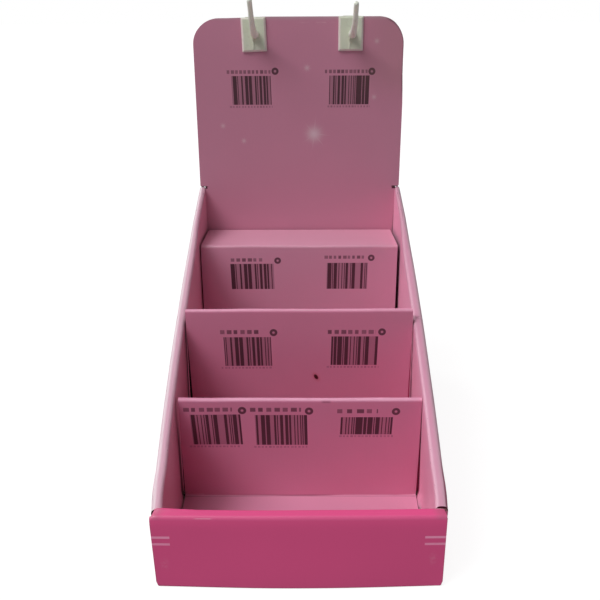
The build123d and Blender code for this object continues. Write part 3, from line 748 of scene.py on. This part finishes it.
for v in bm.verts:
    x, y, z = v.co
    ax, sx = abs(x), (1.0 if x > 0 else -1.0)
    side = smooth(ax, 0.058, 0.071)
    top = wall_top(y)
    dx = sx * side * bow(y)
    dy = dz = 0.0
    wall = smooth(y, fy(6.9), fy(7.0)) if ax > 0.0754 else 0.0
    # slight unevenness of the long panels
    k = side * smooth(y, fy(8), fy(40)) * smooth(y, fy(275), fy(240)) * clamp(z / 0.05)
    dx += sx * k * 0.00022 * wobble(y * 38, z * 30, x * 5, 2.0 if x > 0 else 5.0)
    # the inner panels hang from their top folds, lean outwards towards their feet and
    # stand further out at the back, where they close in on the back card
    if 0.0755 < ax < 0.0795 and z > 0.0016:
        lean = (0.0024 if x > 0 else 0.0010) * smooth(y, fy(6), fy(60)) * smooth(y, fy(282), fy(230))
        inner = smooth(ax, 0.0795, 0.0775)
        rear = smooth(y, fy(185), fy(262))
        rise = clamp(z / top)
        shift = -0.0004 * (1 - rear) + rear * (0.0010 + 0.0013 * rise) if x > 0 else 0.0003 + 0.0012 * rear
        dx += sx * inner * (lean * (1 - rise) + shift)
    # the right wall stands out a little more towards the back
    if x > 0:
        dx += side * (0.0003 + 0.0003 * smooth(y, fy(110), fy(200))) * clamp(z / 0.05) * smooth(y, fy(7), fy(20))
    else:
        dx -= side * 0.0004 * clamp(z / 0.05) * smooth(y, fy(7), fy(20))
    dx += sx * side * 0.00055 * clamp(z / 0.05) * smooth(y, fy(205), fy(250))
    # and both splay a little at their front ends
    if y > fy(6.95):
        dx += sx * side * 0.0008 * clamp(z / 0.05) * smooth(y, fy(34), fy(10))
    # the folded tops are crowned, and a little dented
    if wall > 0.0 and ax > 0.0754:
        u = (ax - 0.07915) / 0.00335
        near_top = smooth(top - z, 0.0080, 0.0022)
        fall = 0.00105 if u > 0 else 0.00045          # the outer shoulder falls off more
        dz += wall * near_top * (0.00018 - fall * min(1.1, abs(u)) ** 2.2)
        dz += wall * near_top * 0.00016 * wobble(y * 55, x * 300, 0.0, 3.0 + sx)
        # they meet the shoulders of the back card, and dip at their front ends
        dz += near_top * 0.0004 * smooth(y, fy(258), fy(276))
        dz -= smooth(z, 0.030, 0.050) * smooth(y, fy(20), fy(7)) * (0.0014 if x > 0 else 0.0032)
    if y < fy(6.95):
        # the front wall: its top rises to the back, its ends are rounded down
        high = smooth(z, 0.038, 0.0465)
        u = clamp(ax / 0.0810)
        dz += high * smooth(y, fy(1.6), fy(6.2)) * (0.0010 + 0.0006 * u ** 4)
        drop = 0.0015 if x < 0 else 0.0006
        dz -= smooth(z, 0.034, 0.048) * drop * smooth(ax, 0.0765, 0.0826) ** 1.5
        if x < 0:
            dz += high * smooth(y, fy(1.6), fy(6.2)) * 0.0008 * smooth(ax, 0.060, 0.076)
        dy += 0.0006 * smooth(z, 0.0425, 0.0490) * smooth(y, fy(2.8), fy(0.2))
        dy += 0.00012 * wobble(x * 45, z * 40, 0.0, 7.0) * (1 - u * u)
        # the front panel's left end sits further out and flares a little
        if x < 0:
            fore = max(smooth(y, fy(3.4), fy(1.7)), 0.35 * smooth(z, 0.040, 0.046))
            dx -= smooth(ax, 0.058, 0.081) * fore * (0.0011 + 0.0012 * (z / 0.049))
            if ax > 0.0805 and y > fy(3.8):        # the side panel's end is pressed down behind it
                dz -= 0.0030 * smooth(z, 0.038, 0.048)
                dx += 0.0009 * smooth(z, 0.030, 0.045)
        else:
            dx += smooth(ax, 0.058, 0.081) * smooth(y, fy(3.4), fy(1.7)) * 0.0010
    # the front wall bellies forwards towards its lower edge
    u = clamp(1 - (x / 0.079) ** 2)
    belly = 0.0021 * (1 - 0.72 * smooth(z, 0.0, 0.046)) * u ** 1.15
    dy -= belly * smooth(y, fy(22), fy(1.6))
    # the top fold sags by a hair between the corners
    dz -= 0.0003 * smooth(z, 0.030, 0.047) * smooth(y, fy(9), fy(7)) * (0.5 + 0.5 * wobble(x * 30, 0.0, 0.0, 4.0)) * u
    v.co = (x + dx, y + dy, z + dz)
tray_ob = to_object(bm, "tray_sheet", [mat_tray, mat_bare, mat_edge, mat_edge_shade, mat_edge_inked])
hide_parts("tray")
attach(tray_ob, "root")

# ---------------------------------------------------------------- back card
bm = clean_copy("header_card")
slice_planes(bm, 0, spaced(-0.0825, 0.0825, 16))
slice_planes(bm, 2, spaced(0.004, 0.298, 26))
bm.normal_update()
Y0, Y1 = fy(278.5), fy(280.0)
edge_faces = []
for f in bm.faces:
    n, c = f.normal, f.calc_center_median()
    if n.y < -0.7:
        f.material_index = 0
    elif n.y > 0.7:
        f.material_index = 1
    else:
        f.material_index = 2
        level = 1.0 if abs(n.z) > 0.5 else 0.0
        edge_faces.append((f, lambda p, w=level: Vector((p.x if w else p.z, (p.y - (Y0 + Y1) / 2) / 0.00075, w))))
set_edge_uvw(bm, edge_faces)
for v in bm.verts:
    x, y, z = v.co
    if z < 0.1685:
        low = smooth(abs(x), 0.066, 0.0755) * smooth(z, 0.095, 0.130)
        x += low * (0.0030 + 0.0010 * smooth(z, 0.132, 0.166)) if x > 0 else -low * 0.0028
    elif x > 0.07:
        x -= 0.0010 * smooth(x, 0.068, 0.082) * smooth(z, 0.235, 0.265)
    k = smooth(z, 0.160, 0.235)
    # almost flat: a trace of a hollow across, and unevenness above the walls
    dy = 0.0005 * k * (1 - (x / 0.0825) ** 2) + 0.00020 * k * wobble(x * 32, z * 24, 0.0, 3.0)
    if abs(x) < 0.060 and z > 0.27:
        dy *= 1.0 - smooth(z, 0.270, 0.285)
    dy *= 1.0 - smooth(z, 0.268, 0.282)
    # the top edge is a little lower from one hook outwards
    z -= (0.0008 * smooth(x, -0.0255, -0.0440) + 0.00025 * smooth(x, -0.046, -0.059)) * smooth(z, 0.280, 0.2995)
    v.co = (x, y + dy, z)
card_ob = to_object(bm, "back_card_sheet", [mat_card, mat_bare, mat_edge])
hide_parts("header_card")
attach(card_ob, "root")

# ---------------------------------------------------------------- step insert
T = 1.5
PATH = [
    (7.3, 2.25), (82.95, 2.25), (78.95, 78.05), (81.45, 78.05), (87.05, 2.25),
    (137.35, 2.25), (136.15, 115.75), (138.65, 115.75), (141.45, 2.25),
    (232.55, 2.25), (232.15, 131.25), (276.85, 131.25), (276.85, 1.5),
]
PATH = [(fy(a), b * MM) for a, b in PATH]


def path_side(y, z):
    """(signed distance from the sheet's middle line, length along it); positive is the upper side."""
    best, run, out = 1e9, 0.0, (0.0, 0.0)
    for (ay, az), (by, bz) in zip(PATH, PATH[1:]):
        ly, lz = by - ay, bz - az
        ln = math.hypot(ly, lz)
        t = clamp(((y - ay) * ly + (z - az) * lz) / (ln * ln))
        py, pz = ay + ly * t, az + lz * t
        d = math.hypot(y - py, z - pz)
        if d < best - 1e-9:
            best = d
            s = ly * (z - az) - lz * (y - ay)
            out = (math.copysign(d, s), run + ln * t)
        run += ln
    return out


def panel(c):
    """Which panel's print a printed face carries."""
    d = (c.y - YF) / MM
    if c.z > 0.129:
        return 6
    if c.z < 0.0045 or d > 234:
        return 0
    return 3 if d < 100 else 4 if d < 160 else 5


bm = clean_copy("step_insert")
for v in bm.verts:
    v.co.x *= 0.0755 / (0.0755 + bow(v.co.y))
slice_planes(bm, 0, spaced(-0.0755, 0.0755, 18) + [-0.0725, 0.0725])
slice_planes(bm, 2, spaced(0.005, 0.128, 12))
slice_planes(bm, 1, [fy(v) for v in (18, 30, 42, 54, 66, 95, 105, 115, 125, 152, 166, 180, 194, 208, 220, 240, 252, 264)])
bm.normal_update()
edge_faces = []
for f in bm.faces:
    n, c = f.normal, f.calc_center_median()
    if abs(n.x) > 0.7:
        f.material_index = 2

        def place(p):
            d, run = path_side(p.y, p.z)
            return Vector((run, clamp(d / 0.00075, -1, 1), 0.0))
        edge_faces.append((f, place))
    elif (n.y < -0.9 and c.y < fy(7.6)) or (n.z < -0.9 and c.y > fy(275.0) and c.z < 0.003):
        f.material_index = 2
        edge_faces.append((f, lambda p: Vector((p.x, (p.z - 0.00225) / 0.00075, 1.0))))
    else:
        f.material_index = panel(c) if path_side(c.y + n.y * 1e-4, c.z + n.z * 1e-4)[0] > 0 else 1
        # bare liner near the ends of the dividers' leaves takes painted shade
        if f.material_index == 1 and abs(c.x) > 0.0725 and c.z > 0.003 and c.y < fy(150.0):
            f.material_index = 7
set_edge_uvw(bm, edge_faces)
for v in bm.verts:
    x, y, z = v.co
    ux = x / 0.0755
    d_mm = (y - YF) / MM
    # its edges follow the walls, but stand clear of them at the dividers' feet
    near = smooth(d_mm, 118, 100)
    mid = smooth(d_mm, 112, 130) * smooth(d_mm, 165, 145)
    rear = smooth(d_mm, 200, 235)
    rise = clamp(z / 0.078)
    up = clamp(z / 0.112)
    # a divider's back leaf stays close to the wall
    if d_mm > 85.0 - 4.8 * rise and d_mm < 100 and z > 0.0005:
        tight = 1.0
    elif d_mm > 139.4 - 2.0 * clamp(z / 0.1157) and d_mm < 165:
        tight = 1.0
    else:
        tight = 0.0
    if x < 0:
        edge = near * (-0.00045 - 0.00030 * rise) - (1 - tight) * mid * 0.0022 * (1 - up ** 1.5) + rear * 0.0014
        edge += tight * (near * 0.0014 * (1 - rise) + mid * 0.0013 * (1 - up))
    else:
        edge = near * (0.0005 * smooth(d_mm, 20, 75) - 0.0006 * smooth(d_mm, 75, 20) - 0.00045 * rise) + rear * 0.0007
        edge += tight * (near * 0.0019 * (1 - rise ** 2) + mid * 0.0017 * (1 - up)) - mid * (0.0004 + (1 - tight) * 0.0010 * (1 - up))
    dx = ux * bow(y) + ux * abs(ux) * edge
    dy = dz = 0.0
    # the dividers' creases wander a little, and so do their top folds
    for foot, top, high in ((82.2, 78.2, 0.0788), (136.6, 135.4, 0.1165), (231.8, 231.4, 0.1320)):
        if foot - 9 < d_mm < foot + 13:
            low = smooth(z, 0.020, 0.003)
            up = smooth(z, high - 0.030, high - 0.002)
            dy += (0.00050 * low * wobble(x * 95, foot, 0.0, foot) + 0.00035 * up * wobble(x * 60, 0.0, 0.0, foot + 1.0)) * smooth(abs(d_mm - foot), 12.0, 7.0)
            dz += 0.00022 * up * wobble(x * 70, 0.0, 1.0, foot + 2.0)
    # the front divider's foot bends back towards its ends, and its left end stands up
    here = smooth(abs(d_mm - 84.0), 22.0, 8.0)
    dy += 0.0016 * here * smooth(z, 0.050, 0.003) * ux * ux
    dz += 0.0005 * here * smooth(z, 0.030, 0.076) * smooth(-ux, 0.70, 1.0)
    # long panels are never quite flat
    if 0.012 < z < 0.125:
        dy += 0.00018 * wobble(x * 42, z * 50, y * 8, 6.0)
    if z < 0.004:
        dz += 0.00010 * (1 + wobble(x * 50, y * 40, 0.0, 8.0)) * smooth(abs(x), 0.0755, 0.060)
    v.co = (x + dx, y + dy, z + dz)
insert_ob = to_object(bm, "step_insert_sheet", [mat_floor, mat_bare, mat_edge_inked, mat_front, mat_middle, mat_riser, mat_shelf, mat_liner_shade])
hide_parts("step_insert")
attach(insert_ob, "root")

# ---------------------------------------------------------------- hooks: their plates hang a little lower
for name, lower, sunk in (("hook_left", 0.0015, 0.0008), ("hook_right", 0.0008, 0.0)):
    bm = clean_copy(name)
    for v in bm.verts:
        z = v.co.z
        if v.co.y < 0.1372:
            v.co.z -= lower * smooth(z, 0.2860, 0.2800)
        if v.co.y > 0.1335 and z > 0.2965:          # the bridge over the card is thin
            v.co.z -= sunk * smooth(z, 0.2965, 0.3010)
            v.co.z -= 0.55 * max(0.0, z - 0.30158)
        if v.co.y < 0.1335 and sunk:
            v.co.z -= 0.0009 * smooth(z, 0.3040, 0.3150)
    ob = to_object(bm, name + "_moulding", [mat_hook], 28.0)
    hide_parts(name)
    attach(ob, "root")

# =============================================================== floor and light
me = bpy.data.meshes.new("floor")
R = 9.0
me.from_pydata([(-R, -R, -0.0001), (R, -R, -0.0001), (R, R, -0.0001), (-R, R, -0.0001)], [], [(0, 1, 2, 3)])
floor = bpy.data.objects.new("floor", me)
bpy.context.scene.collection.objects.link(floor)
fm = bpy.data.materials.new("floor_pale")
fm.use_nodes = True
ft = fm.node_tree
ft.nodes.clear()


def node(tree, kind, **inputs):
    n = tree.nodes.new(kind)
    for key, value in inputs.items():
        n.inputs[key].default_value = value
    return n


# a pale sweep that shows hardly any shadow and throws back less light than it shows
f_out = node(ft, "ShaderNodeOutputMaterial")
f_mix = node(ft, "ShaderNodeMixShader")
f_sum = node(ft, "ShaderNodeAddShader")
f_throw = node(ft, "ShaderNodeEmission", Color=(1, 1, 1, 1), Strength=0.295)
f_show = node(ft, "ShaderNodeEmission", Color=(1, 1, 1, 1), Strength=0.90)
f_shade = node(ft, "ShaderNodeBsdfDiffuse", Color=(0.20, 0.20, 0.20, 1))
f_lp = node(ft, "ShaderNodeLightPath")
ft.links.new(f_show.outputs[0], f_sum.inputs[0])
ft.links.new(f_shade.outputs[0], f_sum.inputs[1])
ft.links.new(f_lp.outputs["Is Camera Ray"], f_mix.inputs[0])
ft.links.new(f_throw.outputs[0], f_mix.inputs[1])
ft.links.new(f_sum.outputs[0], f_mix.inputs[2])
ft.links.new(f_mix.outputs[0], f_out.inputs[0])
me.materials.append(fm)

world = bpy.data.worlds.new("studio")
bpy.context.scene.world = world
world.use_nodes = True
wn = world.node_tree
wn.nodes.clear()
w_out = node(wn, "ShaderNodeOutputWorld")
w_mix = node(wn, "ShaderNodeMixShader")
w_amb = node(wn, "ShaderNodeBackground", Color=(1, 1, 1, 1), Strength=0.171)
w_cam = node(wn, "ShaderNodeBackground", Color=(1, 1, 1, 1), Strength=1.0)
w_lp = node(wn, "ShaderNodeLightPath")
wn.links.new(w_lp.outputs["Is Camera Ray"], w_mix.inputs[0])
wn.links.new(w_amb.outputs[0], w_mix.inputs[1])
wn.links.new(w_cam.outputs[0], w_mix.inputs[2])
wn.links.new(w_mix.outputs[0], w_out.inputs[0])

# soft lamps round the stand: (height, turn from the front towards the viewer's left, strength)
for i, (el, az, w) in enumerate(((50, 60, 0.481), (70, 45, 0.084), (30, 120, 0.226), (50, 30, 0.146), (30, 240, 0.094))):
    data = bpy.data.lights.new(f"lamp{i}", "SUN")
    data.energy = w * math.pi
    data.angle = math.radians(30)
    lamp = bpy.data.objects.new(f"lamp{i}", data)
    bpy.context.scene.collection.objects.link(lamp)
    e, a = math.radians(el), math.radians(az)
    toward = Vector((-math.sin(a) * math.cos(e), -math.cos(a) * math.cos(e), math.sin(e)))
    lamp.rotation_mode = "QUATERNION"
    lamp.rotation_quaternion = toward.to_track_quat("Z", "Y")
